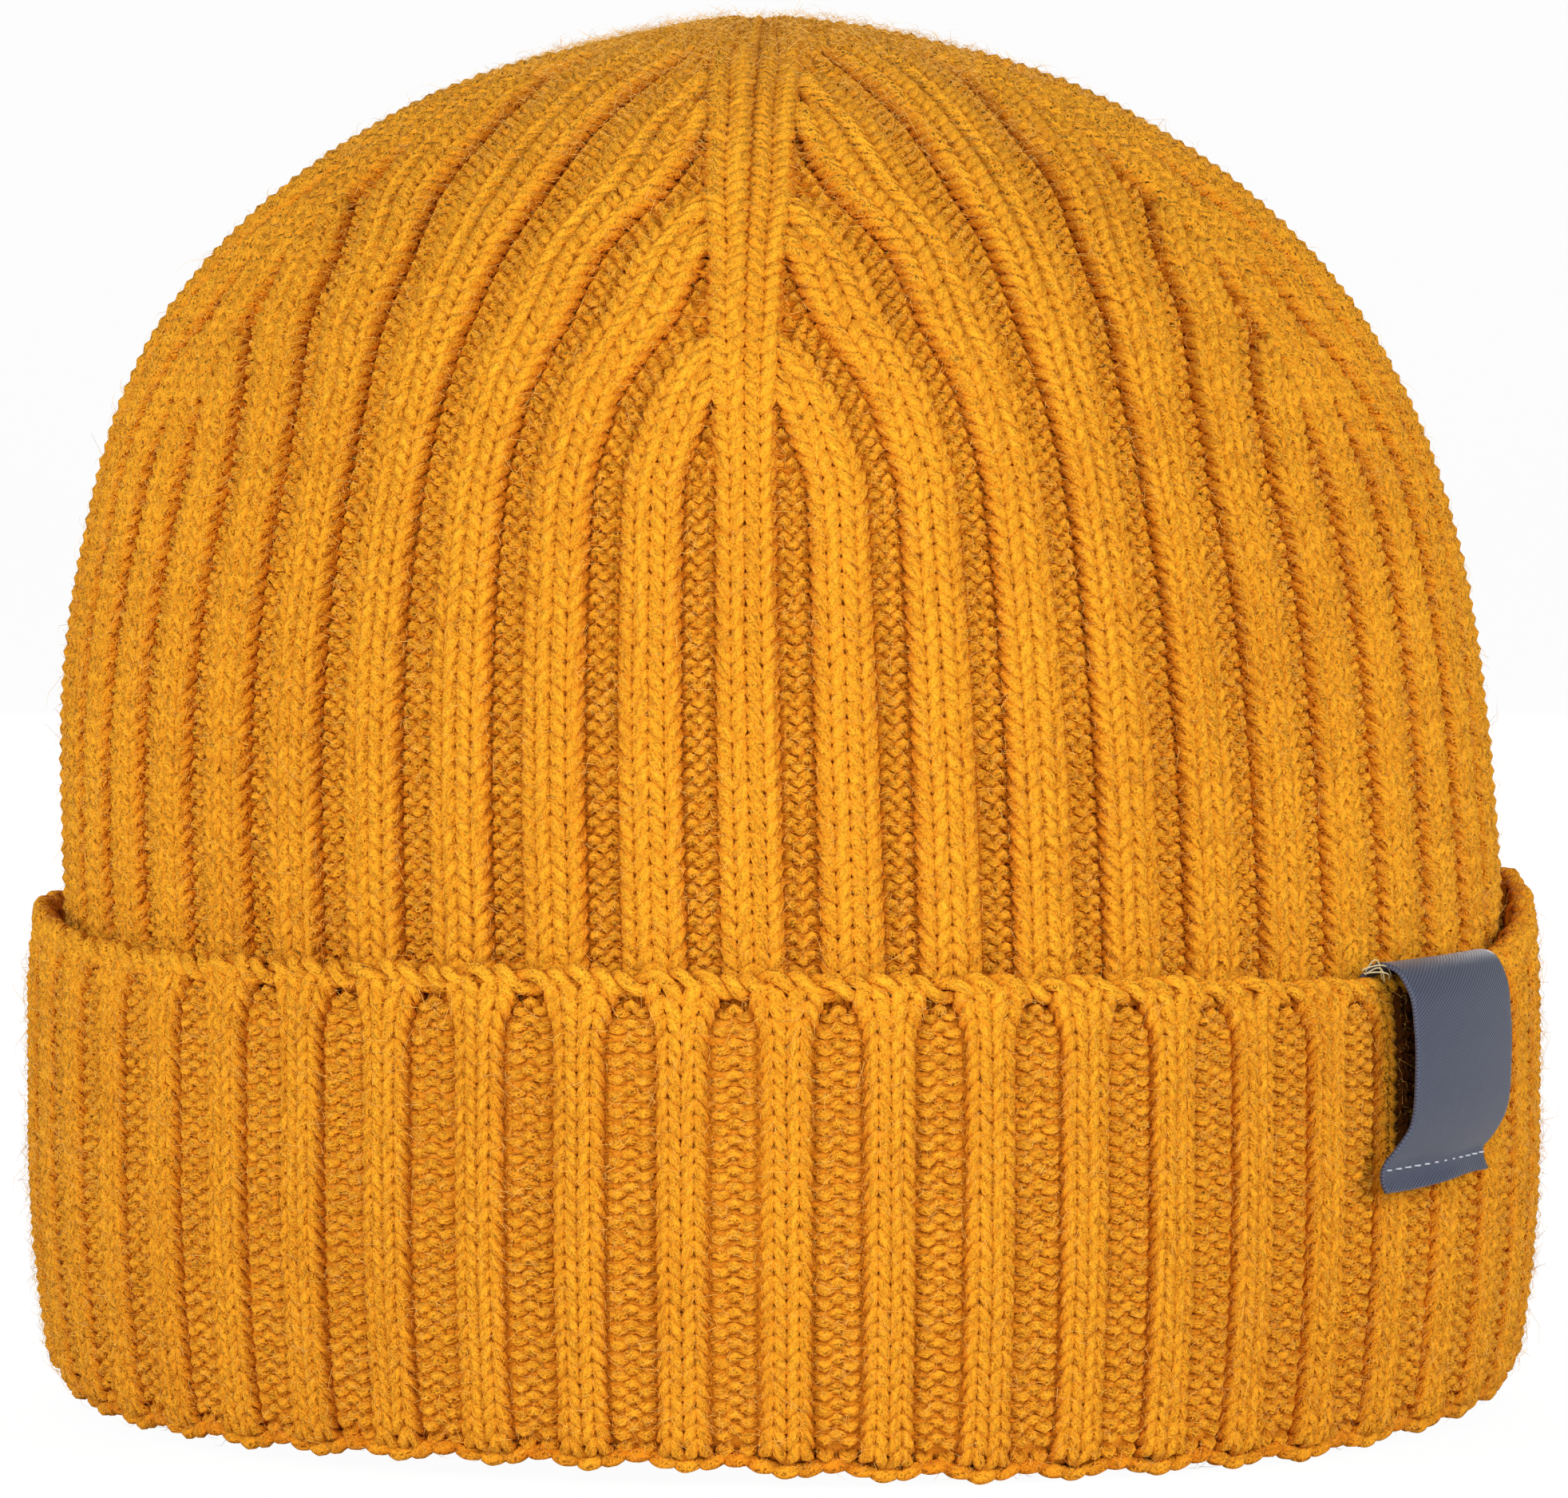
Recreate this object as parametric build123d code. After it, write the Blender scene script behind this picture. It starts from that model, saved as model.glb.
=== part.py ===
from build123d import *
import math
import os

# Ribbed knit cap with a turned-up cuff, standing on its rim.
# Millimetres. +Z is up, the brow is towards -Y, the wearer's left is +X.
# The origin is the middle of the rim's footprint.

# ---- Head opening ------------------------------------------------------------
inner_half_width = 80.5
inner_half_depth = 96.6

# ---- Crown curve: a superellipse from the straight wall to the apex ----------
total_height = 159.7
crown_start = 40.0
shoulder_power = 3.7
apex_power = 1.8

# ---- Fabric: two-by-two rib --------------------------------------------------
fabric_thickness = 3.5
purl_recess = 1.4
dart_count = 6
ribs_per_dart = 8
wales_per_rib = 4
valley_wales = 1.7
cuff_valley_wales = 2.1
flank_wales = 0.45
body_slip = 1.8
cuff_slip = 3.5

# ---- Crown shaping: the darts take the ribs in, one wale at a time -----------
arc_per_wale = 4.7
closing_arc = 26.0
dart_half_wales = 1.0

# ---- Cuff and rim ------------------------------------------------------------
cuff_height = 55.5
cast_on_height = 3.4
cast_on_taper = 0.9
cast_on_bevel = 1.2
fullest_height = 31.0
rim_inset = 2.6
ridge_height = 6.0
ridge_outer_bevel = 3.0
ridge_shoulder_in = 0.9
ridge_shoulder_rise = 1.8
ridge_inner_bevel = 1.8

# ---- Label, looped over the cuff's edge --------------------------------------
label_angle = 56.0
label_width = 25.5
label_thickness = 0.5
label_rise = 0.9
label_drop = 27.0
label_tuck = 13.0
label_stand_off = 3.8
hem_margin = 2.7
hem_stitches = 7
stitch_length = 2.1
thread_width = 0.4
tack_stitches = 3
tack_pitch = 1.6

# ---- Yarn that draws the crown shut ------------------------------------------
yarn_diameter = 1.8
loop_radius = 5.0
tail_reach = 34.0

# ---- Clearances and fineness of the facets -----------------------------------
seat_clearance = 0.25
smooth_facets = 72
label_facets = 6
crown_levels = 9
inner_levels = 7
wall_levels_above_cuff = 3
curve_steps = 360
flatness = 1e-6

# ---- Values that follow from the ones above ----------------------------------
depth_ratio = inner_half_depth / inner_half_width
layer_gap = label_thickness + 2 * seat_clearance
body_half_width = inner_half_width + fabric_thickness
cuff_inner = body_half_width + layer_gap
cuff_outer = cuff_inner + fabric_thickness
cuff_top = cuff_height - cast_on_height
outer_rise = total_height - crown_start
inner_rise = outer_rise - fabric_thickness
half_sector = math.pi / dart_count
full_wales = ribs_per_dart * wales_per_rib / 2
rim_bands = (ridge_height, (ridge_height + fullest_height) / 2, fullest_height)


# ---- Curves ------------------------------------------------------------------
def rim_draw(height):
    """How far the fabric is drawn in at a height below the cuff's fullest part."""
    return rim_inset * max(0.0, 1 - height / fullest_height) ** 2


def crown_height(half_width, rise, across):
    """Height of a crown curve of that half-width and rise, at a distance from the middle."""
    return crown_start + rise * (1 - (across / half_width) ** apex_power) ** (1 / shoulder_power)


def crown_reach(half_width, rise, height):
    """The other way round: how far out the crown curve is at a height."""
    share = max(0.0, (height - crown_start) / rise)
    return half_width * (1 - share ** shoulder_power) ** (1 / apex_power)


def crown_curve(half_width, rise, steps):
    """Points of a crown curve, evenly turned from the wall to the apex."""
    turns = [math.pi / 2 * i / steps for i in range(1, steps)]
    across = [half_width * math.cos(turn) ** (2 / apex_power) for turn in turns]
    inside = [(a, crown_height(half_width, rise, a)) for a in across]
    return [(half_width, crown_start)] + inside + [(0.0, crown_start + rise)]


def point_at_arc(arc):
    """The point of the outer crown curve at a distance from the apex along the curve."""
    fine_curve = crown_curve(body_half_width, outer_rise, curve_steps)[::-1]
    walked = 0.0
    for near, far in zip(fine_curve, fine_curve[1:]):
        step = math.dist(near, far)
        if walked + step >= arc:
            share = (arc - walked) / step
            return near[0] + share * (far[0] - near[0]), near[1] + share * (far[1] - near[1])
        walked += step
    return fine_curve[-1]


def point_at_wales(wales):
    """Where on the crown curve half a sector is that many wales wide."""
    return point_at_arc(closing_arc + (wales - 1) * arc_per_wale)


def on_oval(half_width, height, angle):
    """A point on the head's oval, for an angle from the brow towards +X."""
    return Vector(half_width * math.sin(angle), -depth_ratio * half_width * math.cos(angle), height)


# ---- Rings of points ---------------------------------------------------------
def smooth_ring(half_width, height):
    """A plain oval."""
    return [on_oval(half_width, height, 2 * math.pi * i / smooth_facets) for i in range(smooth_facets)]


def wall_ring(half_width, height, wales):
    """The ribbed outline of the wall or crown: knit ribs stand out, purl valleys lie back.

    Marks count wales from the middle of a sector, which lies between two darts. What no
    longer fits beside the dart is gathered into it."""
    marks = [(0.0, False)]
    for index in range(ribs_per_dart // 2):
        near = wales_per_rib * (index + 0.5) - valley_wales / 2
        far = near + valley_wales
        marks += [(near, False), (near + flank_wales, True), (far - flank_wales, True), (far, False)]
    marks.append((full_wales, False))
    beside_dart = wales - dart_half_wales
    gathering = dart_half_wales / (full_wales - beside_dart)
    placed = []
    for mark, set_back in marks:
        if mark > beside_dart:
            mark = beside_dart + (mark - beside_dart) * gathering
            set_back = False
        placed.append((mark, set_back))
    sector = [(-mark, set_back) for mark, set_back in placed[:0:-1]] + placed[:-1]
    ring = []
    for dart in range(dart_count):
        for mark, set_back in sector:
            angle = half_sector * (2 * dart + 1 + mark / wales) - math.radians(body_slip)
            reach = half_width * (1 - set_back * purl_recess / body_half_width)
            ring.append(on_oval(reach, height, angle))
    return ring


def cuff_ring(half_width, height):
    """The ribbed outline of the cuff: turned over, its knit ribs lie where the wall has purl."""
    rib_count = dart_count * ribs_per_dart
    crest = (wales_per_rib - cuff_valley_wales) / 2
    marks = [(-crest - flank_wales, True), (-crest, False), (crest, False), (crest + flank_wales, True)]
    ring = []
    for rib in range(rib_count):
        for mark, set_back in marks:
            angle = 2 * math.pi * (rib + 0.5 + mark / wales_per_rib) / rib_count - math.radians(cuff_slip)
            reach = half_width * (1 - set_back * purl_recess / cuff_outer)
            ring.append(on_oval(reach, height, angle))
    return ring


# ---- Faces and solids --------------------------------------------------------
def flat_face(points):
    """A flat face with these corners."""
    return Face(Wire.make_polygon(points, close=True))


def between(outer, inner):
    """The level face between an outer ring and an inner one."""
    return Face(Wire.make_polygon(outer, close=True), [Wire.make_polygon(inner, close=True)])


def panels(low, high):
    """The faces between two rings: one where they are level, else flat ones side by side."""
    if len(low) == smooth_facets and low[0].Z == high[0].Z:
        inner, outer = sorted((low, high), key=lambda ring: ring[0].length)
        return [between(outer, inner)]
    faces = []
    for i in range(len(low)):
        j = (i + 1) % len(low)
        across = low[j] - low[i]
        normal = across.cross(high[i] - low[i]).normalized()
        if abs(normal.dot(high[j] - low[i])) < flatness:
            faces.append(flat_face([low[i], low[j], high[j], high[i]]))
        else:
            faces.append(flat_face([low[i], low[j], high[j]]))
            faces.append(flat_face([low[i], high[j], high[i]]))
    return faces


def skin(rings):
    """The faces through a run of rings."""
    return [face for low, high in zip(rings, rings[1:]) for face in panels(low, high)]


def tip(ring, apex):
    """The triangles that close a ring to a point."""
    return [flat_face([ring[i], ring[(i + 1) % len(ring)], apex]) for i in range(len(ring))]


def solid_of(faces):
    """The solid that a closed set of faces bounds."""
    return Solid(Shell(faces))


def oval_tube(profile):
    """A closed profile of (half-width, height) corners, carried round the oval."""
    rings = [smooth_ring(a, z) for a, z in profile]
    return solid_of(skin(rings + rings[:1]))


def label_strip(profile, width, shift=0.0):
    """A ribbon: a profile of (half-width, height) corners, carried along the oval at the label."""
    middle = math.radians(label_angle)
    turn = 1 / math.hypot(cuff_outer * math.cos(middle), depth_ratio * cuff_outer * math.sin(middle))
    facets = max(1, round(label_facets * width / label_width))
    starts = [middle + turn * (shift + width * (i / facets - 0.5)) for i in range(facets + 1)]
    rings = [[on_oval(a, z, start) for a, z in profile] for start in starts]
    return solid_of(skin(rings) + [flat_face(rings[0]), flat_face(rings[-1])])


def thickened(path, thickness):
    """The closed profile of a strip of that thickness along a run of corners."""
    points = [Vector(*point) for point in path]
    sides = []
    for here, (before, after) in zip(points, zip([None] + points[:-1], points[1:] + [None])):
        arrive = (here - before).normalized() if before else (after - here).normalized()
        leave = (after - here).normalized() if after else arrive
        bisector = (arrive + leave).normalized()
        reach = thickness / 2 / bisector.dot(leave)
        off = Vector(bisector.Y, -bisector.X) * reach
        sides.append(((here + off).X, (here + off).Y, (here - off).X, (here - off).Y))
    return [side[:2] for side in sides] + [side[2:] for side in reversed(sides)]


# ---- Knit wall, from the rim to where the darts begin ------------------------
wall_top, wall_top_height = point_at_wales(full_wales)
wall_levels = [(body_half_width - rim_draw(z), z) for z in rim_bands]
for step in range(wall_levels_above_cuff):
    level = cuff_height + step / wall_levels_above_cuff * (wall_top_height - cuff_height)
    wall_levels.append((crown_reach(body_half_width, outer_rise, level), level))
wall_levels.append((wall_top, wall_top_height))
wall_outer = [wall_ring(a, z, full_wales) for a, z in wall_levels]
wall_inner = [smooth_ring(inner_half_width - rim_draw(z), z) for z in rim_bands]
for a, z in wall_levels[len(rim_bands):]:
    wall_inner.append(smooth_ring(crown_reach(inner_half_width, inner_rise, z), z))
knit_wall = solid_of(skin(wall_outer) + skin(wall_inner) + [
    between(wall_outer[0], wall_inner[0]), between(wall_outer[-1], wall_inner[-1])])

# ---- Knit crown: the darts take in the valleys beside them, one after another --
crown_outer = []
for level in range(crown_levels + 1):
    wales = full_wales + (1 + dart_half_wales - full_wales) * level / crown_levels
    crown_outer.append(wall_ring(*point_at_wales(wales), wales))
hollow_top = crown_start + inner_rise
crown_inner = [wall_inner[-1]]
inner_foot = crown_reach(inner_half_width, inner_rise, wall_top_height)
for level in range(1, inner_levels):
    across = inner_foot * math.cos(math.pi / 2 * level / inner_levels)
    crown_inner.append(smooth_ring(across, crown_height(inner_half_width, inner_rise, across)))
knit_crown = solid_of(
    skin(crown_outer) + tip(crown_outer[-1], Vector(0, 0, total_height))
    + skin(crown_inner) + tip(crown_inner[-1], Vector(0, 0, hollow_top))
    + [between(crown_outer[0], crown_inner[0])])

# ---- Fold at the rim: the purl ridge on which the fabric turns ----------------
ridge_in = inner_half_width - rim_draw(ridge_height)
ridge_out = cuff_outer - rim_draw(ridge_height)
fold_ridge = oval_tube([
    (ridge_in, ridge_height),
    (ridge_in, ridge_inner_bevel),
    (ridge_in + ridge_inner_bevel, 0),
    (ridge_out - ridge_outer_bevel, 0),
    (ridge_out - ridge_shoulder_in, ridge_shoulder_rise),
    (ridge_out, ridge_height),
])

# ---- Cuff --------------------------------------------------------------------
cuff_levels = [(cuff_outer - rim_draw(z), z) for z in rim_bands]
cuff_levels += [(cuff_outer - cast_on_taper / 4, (fullest_height + cuff_top) / 2),
                (cuff_outer - cast_on_taper, cuff_top)]
cuff_face = [cuff_ring(a, z) for a, z in cuff_levels]
cuff_back = [smooth_ring(cuff_inner - rim_draw(z), z) for z in (*rim_bands, cuff_top)]
cuff = solid_of(skin(cuff_face) + skin(cuff_back) + [
    between(cuff_face[0], cuff_back[0]), between(cuff_face[-1], cuff_back[-1])])

# ---- Cast-on edge along the cuff's top ---------------------------------------
edge_out = cuff_outer - cast_on_taper
cast_on_edge = oval_tube([
    (cuff_inner, cuff_top),
    (edge_out, cuff_top),
    (edge_out, cuff_height - cast_on_bevel),
    (edge_out - cast_on_bevel, cuff_height),
    (cuff_inner, cuff_height),
])

# ---- Woven label: tucked behind the cuff, over its edge and down the front -----
tuck_half_width = cuff_inner - layer_gap / 2
label_top = cuff_height + label_rise
label_end = cuff_height - label_drop
hem_half_width = cuff_outer + label_thickness + 2 * seat_clearance
label_path = [
    (hem_half_width, label_end),
    (cuff_outer + label_stand_off, (label_top + label_end) / 2),
    (cuff_outer + label_thickness * 2, label_top - label_rise),
    (edge_out - cast_on_bevel / 2, label_top),
    (tuck_half_width + cast_on_bevel / 2, label_top),
    (tuck_half_width, label_top - label_rise),
    (tuck_half_width, cuff_height - label_tuck),
]
woven_label = label_strip(thickened(label_path, label_thickness), label_width)

# ---- Hem stitching across the label's free end --------------------------------
leaf_foot = Vector(*label_path[0])
up_leaf = (Vector(*label_path[1]) - leaf_foot).normalized()
off_leaf = Vector(up_leaf.Y, -up_leaf.X)
stitch_foot = leaf_foot + up_leaf * hem_margin + off_leaf * (label_thickness / 2)
stitch_corners = [stitch_foot, stitch_foot + off_leaf * thread_width,
                  stitch_foot + (off_leaf + up_leaf) * thread_width, stitch_foot + up_leaf * thread_width]
stitch_profile = [(corner.X, corner.Y) for corner in stitch_corners]
stitch_pitch = label_width / hem_stitches
label_hem_stitching = Compound(children=[
    label_strip(stitch_profile, stitch_length, stitch_pitch * (i - (hem_stitches - 1) / 2))
    for i in range(hem_stitches)])

# ---- Tacks that hold the label's fold down to the cast-on edge ----------------
tack_profile = [
    (tuck_half_width + cast_on_bevel, cuff_height),
    (edge_out - cast_on_bevel, cuff_height),
    (edge_out - cast_on_bevel, label_top - label_thickness / 2),
    (tuck_half_width + cast_on_bevel, label_top - label_thickness / 2),
]
label_tack_thread = Compound(children=[
    label_strip(tack_profile, thread_width, thread_width - label_width / 2 + tack_pitch * i)
    for i in range(tack_stitches)])

# ---- Closing yarn inside the crown: a drawn-up loop and its darned-in tail ------
hang = seat_clearance + yarn_diameter / 2
loop_height = crown_height(inner_half_width, inner_rise, loop_radius + yarn_diameter) - hang
tail_end = crown_height(inner_half_width, inner_rise, tail_reach) - hang
tail_line = Line((0, loop_radius, loop_height), (0, depth_ratio * tail_reach, tail_end))
tail = sweep(Plane(origin=tail_line @ 0, z_dir=tail_line % 0) * Circle(yarn_diameter / 2), tail_line)
crown_closing_yarn = Pos(0, 0, loop_height) * Torus(loop_radius, yarn_diameter / 2) + tail

NODES = {
    "knit_wall": knit_wall,
    "knit_crown": knit_crown,
    "fold_ridge": fold_ridge,
    "cuff": cuff,
    "cast_on_edge": cast_on_edge,
    "woven_label": woven_label,
    "label_hem_stitching": label_hem_stitching,
    "label_tack_thread": label_tack_thread,
    "crown_closing_yarn": crown_closing_yarn,
}

os.makedirs("parts", exist_ok=True)
for name, shape in NODES.items():
    shape.label = name
    export_step(shape, f"parts/{name}.step")
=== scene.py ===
import math

import bpy
import numpy as np
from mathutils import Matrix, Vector


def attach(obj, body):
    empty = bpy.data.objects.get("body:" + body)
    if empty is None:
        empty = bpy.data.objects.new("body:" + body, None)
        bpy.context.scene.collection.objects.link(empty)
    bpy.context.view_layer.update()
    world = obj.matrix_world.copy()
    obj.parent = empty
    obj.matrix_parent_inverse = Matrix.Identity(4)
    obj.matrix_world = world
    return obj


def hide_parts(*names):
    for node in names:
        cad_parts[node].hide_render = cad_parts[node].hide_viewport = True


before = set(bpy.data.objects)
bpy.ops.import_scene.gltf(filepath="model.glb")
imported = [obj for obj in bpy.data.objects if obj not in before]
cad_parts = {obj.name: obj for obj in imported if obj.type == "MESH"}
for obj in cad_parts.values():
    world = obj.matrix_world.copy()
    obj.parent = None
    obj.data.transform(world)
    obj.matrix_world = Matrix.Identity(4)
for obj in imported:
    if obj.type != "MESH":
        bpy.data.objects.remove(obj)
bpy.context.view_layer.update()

MM = 0.001
RANDOM = np.random.default_rng(7)

# ---------------------------------------------------------------- the fabric's middle surface, in millimetres
DEPTH_RATIO = 1.2          # the head's front-to-back length over its width
CUFF_MID = 86.35           # half width of the middle of the turned-up layer
WALL_MID = 81.55           # half width of the middle of the body's layer
CUFF_TOP = 53.6            # height of the first course, under the cast-on edge
FOLD_Z = 3.7               # height of the fold's centre
CROWN_START = 40.0         # height at which the crown's curve starts
CROWN_RISE = 118.6         # from there to the apex
SHOULDER_POWER = 3.7       # powers of the crown's superellipse, at its shoulder and at its apex
APEX_POWER = 1.8
RIM_INSET = 2.6            # how far the rim is drawn in
FULLEST = 31.0             # height above which nothing is drawn in
CLOSING_RADIUS = 3.4       # where the last stitches are drawn together
LEAN = 2.45                # how far the crown leans to the wearer's right
CUFF_STEPS = 600           # points of the path down the cuff, round the fold, up the wall, over the crown
TURN_STEPS = 60
RISE_STEPS = 300
CROWN_STEPS = 4000

# ---------------------------------------------------------------- the stitches, in millimetres
COURSE = 1.75              # one row of stitches
WALES = 16                 # stitches from the middle of a sector to a dart
SECTORS = 6                # parts of the crown, with a dart between each two
RIBS = WALES * SECTORS // 2            # ribs all round, of two knit and two purl wales
YARN = 0.74                # yarn radius
LOOP_HALF = 1.95           # half the height of a loop that shows its legs
BUMP_HALF = 2.17           # the same where it shows its head, so that heads and sinkers alternate
LOOP_DEPTH = 0.72          # how far a loop's legs stand before its head
BUMP_DEPTH = 0.9           # how far the heads stand before the legs where those show
RELIEF = 0.8               # how far knit wales stand before purl wales
LOOP_LEAN = 1.75           # how much the legs of a stitch splay
BUMP_LEAN = 0.65           # the same where the stitch shows its head
BODY_SHARE = 0.62          # the knit rib's share of a rib's width, on the body, the cuff and the crown
CUFF_SHARE = 0.52
CROWN_SHARE = 0.70
GROUND_STEPS = 30          # points of the ground layer across half a sector
GROUND_HALF = 0.2          # half its thickness
GROUND_WITH = 0.95         # how far it goes with the wale that it backs
GROUND_SINK = 1.6          # how far it sinks where knit meets purl

FLOOR_REST = 1.10          # the whole hat is raised by this, so that its lowest yarn rests on the floor

# ---------------------------------------------------------------- the label, in millimetres
LABEL_MIDDLE = math.radians(56.3)      # its place round the hat
LABEL_WIDTH = 25.5
LABEL_HALF = 0.22          # half its thickness
LABEL_ROWS = 72            # points along it and across it
LABEL_COLUMNS = 33
HEM = 3.2                  # from the crease at the hem to the free end
CUFF_OUTER = 88.5          # half width of the cuff's outer face
LABEL_REACH = math.hypot(CUFF_OUTER * math.cos(LABEL_MIDDLE),      # millimetres to a radian there
                         DEPTH_RATIO * CUFF_OUTER * math.sin(LABEL_MIDDLE))


def rim_draw(z):
    """How far the fabric is drawn in towards the fold."""
    return RIM_INSET * np.maximum(0, 1 - z / FULLEST) ** 2


def fabric_path():
    """Half width and height of the middle surface from the cast-on edge, round the fold, to the crown."""
    z = np.linspace(CUFF_TOP, FOLD_Z, CUFF_STEPS)
    a = CUFF_MID - rim_draw(z) - 1.1 * np.clip((z - 46) / 8, 0, 1) ** 2
    wall_end = WALL_MID - rim_draw(FOLD_Z)
    radius = (a[-1] - wall_end) / 2
    turn = np.linspace(0, math.pi, TURN_STEPS)[1:]
    a = np.concatenate([a, wall_end + radius + radius * np.cos(turn)])
    z = np.concatenate([z, FOLD_Z - radius * np.sin(turn)])
    rise = np.linspace(FOLD_Z, CROWN_START, RISE_STEPS)[1:]
    a = np.concatenate([a, WALL_MID - rim_draw(rise)])
    z = np.concatenate([z, rise])
    angle = (math.pi / 2) * np.linspace(0, 1, CROWN_STEPS)[1:] ** 3
    crown_a = WALL_MID * np.cos(angle).clip(0) ** (2 / APEX_POWER)
    crown_z = CROWN_START + CROWN_RISE * np.sin(angle) ** (2 / SHOULDER_POWER)
    keep = crown_a > CLOSING_RADIUS * 0.5
    return np.concatenate([a, crown_a[keep]]), np.concatenate([z, crown_z[keep]])


def run_along(a, z):
    """Lengths from the start of a line to its points."""
    return np.concatenate([[0], np.cumsum(np.hypot(np.diff(a), np.diff(z)))])


MEAN_RATIO = 1.1           # of the depth and the width, for lengths over the crown
FOLD_POINT = CUFF_STEPS + TURN_STEPS // 2 - 1
WALL_POINT = CUFF_STEPS + TURN_STEPS - 2
PATH_A, PATH_Z = fabric_path()
PATH_S = run_along(MEAN_RATIO * PATH_A, PATH_Z)
PATH_ARC = run_along(PATH_A, PATH_Z)                                    # at the hat's side, from the apex
PATH_ARC = PATH_ARC[-1] - PATH_ARC + CLOSING_RADIUS * 0.5
PATH_DA = np.gradient(PATH_A, PATH_S)
PATH_DZ = np.gradient(PATH_Z, PATH_S)
S_FOLD = PATH_S[FOLD_POINT]
S_WALL = PATH_S[WALL_POINT]


def s_at_height(z):
    """Arc length of a height on the body's layer."""
    return float(np.interp(z, PATH_Z[WALL_POINT:], PATH_S[WALL_POINT:]))


S_CUFF_TOP = s_at_height(55.0)
S_END = float(np.interp(-CLOSING_RADIUS, -PATH_A, PATH_S))


def hump(t, middle, width):
    """A smooth rise to 1 round the hat, about an angle in degrees."""
    away = (np.degrees(t) - middle + 180) % 360 - 180
    return np.exp(-(away / width) ** 2)


def slip(t, s):
    """How far the ribs have slipped round the head, in radians."""
    cuff = -3.5 - 1.6 * hump(t, 55, 28) - 0.6 * hump(t, -45, 25)
    body = np.interp(s, [S_CUFF_TOP, s_at_height(110)], [-2.2, -1.5])
    body = body - 1.4 * hump(t, -50, 30) - 0.8 * hump(t, 62, 20)
    share = np.clip((s - S_FOLD) / (S_CUFF_TOP - S_FOLD), 0, 1)
    return np.radians(cuff + share * (body - cuff))


def edge_rise(t, z):
    """How far the turned-up edge lies above or below its mean height."""
    rise = -3.0 * hump(t, 52, 26) + 4.5 * hump(t, 100, 18) + 1.5 * hump(t, -92, 20)
    return rise * np.clip((z - 28) / 26, 0, 1.1) ** 2


def shoulder_droop(t, z, a):
    """How far the crown has sunk at its sides, more on the wearer's left."""
    sin = np.sin(t)
    side = 1.4 * np.maximum(sin, 0) ** 2 + 0.6 * np.maximum(-sin, 0) ** 2
    return side * np.clip((z - 95) / 40, 0, 1) * np.clip(a / 45, 0, 1)


def rim_rise(t, z):
    """How far the fold is lifted off the floor where the fabric waves."""
    away = np.abs((np.degrees(t) - 28 + 180) % 360 - 180)
    share = np.clip((away - 12) / 24, 0, 1)
    sides = 2.4 * (hump(t, 90, 19) + hump(t, -90, 19)) + 0.5 * hump(t, -20, 18)
    return (1.2 * share ** 2 * (3 - 2 * share) + sides) * np.clip(1 - z / 30, 0, 1)


def fabric(t, s, lift):
    """Points and normals of the fabric at angle t and arc length s, lifted towards its right side."""
    a = np.interp(s, PATH_S, PATH_A)
    z = np.interp(s, PATH_S, PATH_Z) - np.minimum(s, 0)
    da = np.interp(s, PATH_S, PATH_DA)
    dz = np.interp(s, PATH_S, PATH_DZ)
    t = t + slip(t, s)
    z = z + rim_rise(t, z) + np.where(s < S_FOLD, edge_rise(t, z), 0) - shoulder_droop(t, z, a)
    sin, cos = np.sin(t), np.cos(t)
    normal = np.stack([DEPTH_RATIO * dz * sin, -dz * cos, -DEPTH_RATIO * da], -1)
    normal /= np.linalg.norm(normal, axis=-1, keepdims=True)
    point = np.stack([a * sin, -DEPTH_RATIO * a * cos, z], -1)
    point = point + normal * lift[..., None]
    slump = 0.55 * np.sin(2.3 * t + 0.035 * point[..., 2])
    slump = slump + 0.35 * np.sin(5.1 * t - 0.05 * point[..., 2] + 1.3)
    slump = slump - 1.6 * hump(t, -90, 38) * np.exp(-((z - 100) / 16) ** 2)
    body = np.clip((point[..., 2] - 60) / 40, 0, 1)
    point = point + normal * (slump * body * 0.6)[..., None]
    over = np.clip((point[..., 2] - 56) / 66, 0, 1)
    point[..., 0] -= LEAN * over * (1.35 - 0.35 * over)
    return point, normal


KIND = np.array([1 if k % 4 in (0, 3) else -1 for k in range(WALES)])     # 1 for knit and -1 for purl
KNITS = np.concatenate([[0], np.cumsum(KIND > 0)])
PURLS = np.concatenate([[0], np.cumsum(KIND < 0)])
HALF_SECTOR = math.pi / SECTORS
SHARE_AT = ([0, 5, S_FOLD - 7, S_FOLD - 2, S_WALL + 4, s_at_height(98), s_at_height(136)],
            [0.2, CUFF_SHARE, CUFF_SHARE, 0.46, BODY_SHARE, BODY_SHARE, CROWN_SHARE])
PLAIN_FROM = s_at_height(155)       # above this the last stitches are all knit
RELIEF_AT = ([S_FOLD - 4, S_WALL, s_at_height(100), s_at_height(132), s_at_height(150), PLAIN_FROM],
             [0.5, 0.62, 0.9, 1.0, 0.9, 0.25])


def wale_count(s):
    """How many wales wide half a sector is."""
    arc = np.interp(s, PATH_S, PATH_ARC)
    a = np.interp(s, PATH_S, PATH_A)
    return np.clip(np.maximum(1 + (arc - 26) / 4.7, 0.134 * a), 1.0, WALES)


def half_angle(place, s, dart):
    """Angle from the middle of a sector to a place counted in wales; in the dart, from 0 to 1 within it."""
    share = np.interp(s, *SHARE_AT)
    edges = np.arange(WALES + 1)

    def weight(wales):
        """The width that so many wales take."""
        knits, purls = np.interp(wales, edges, KNITS), np.interp(wales, edges, PURLS)
        return 2 * share * knits + 2 * (1 - share) * purls

    beside = weight(wale_count(s) - 1)
    total = beside + 2 * share
    here = np.where(dart, beside + 2 * share * place, np.minimum(weight(place), beside + 0.3))
    return here / total * HALF_SECTOR


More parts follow.
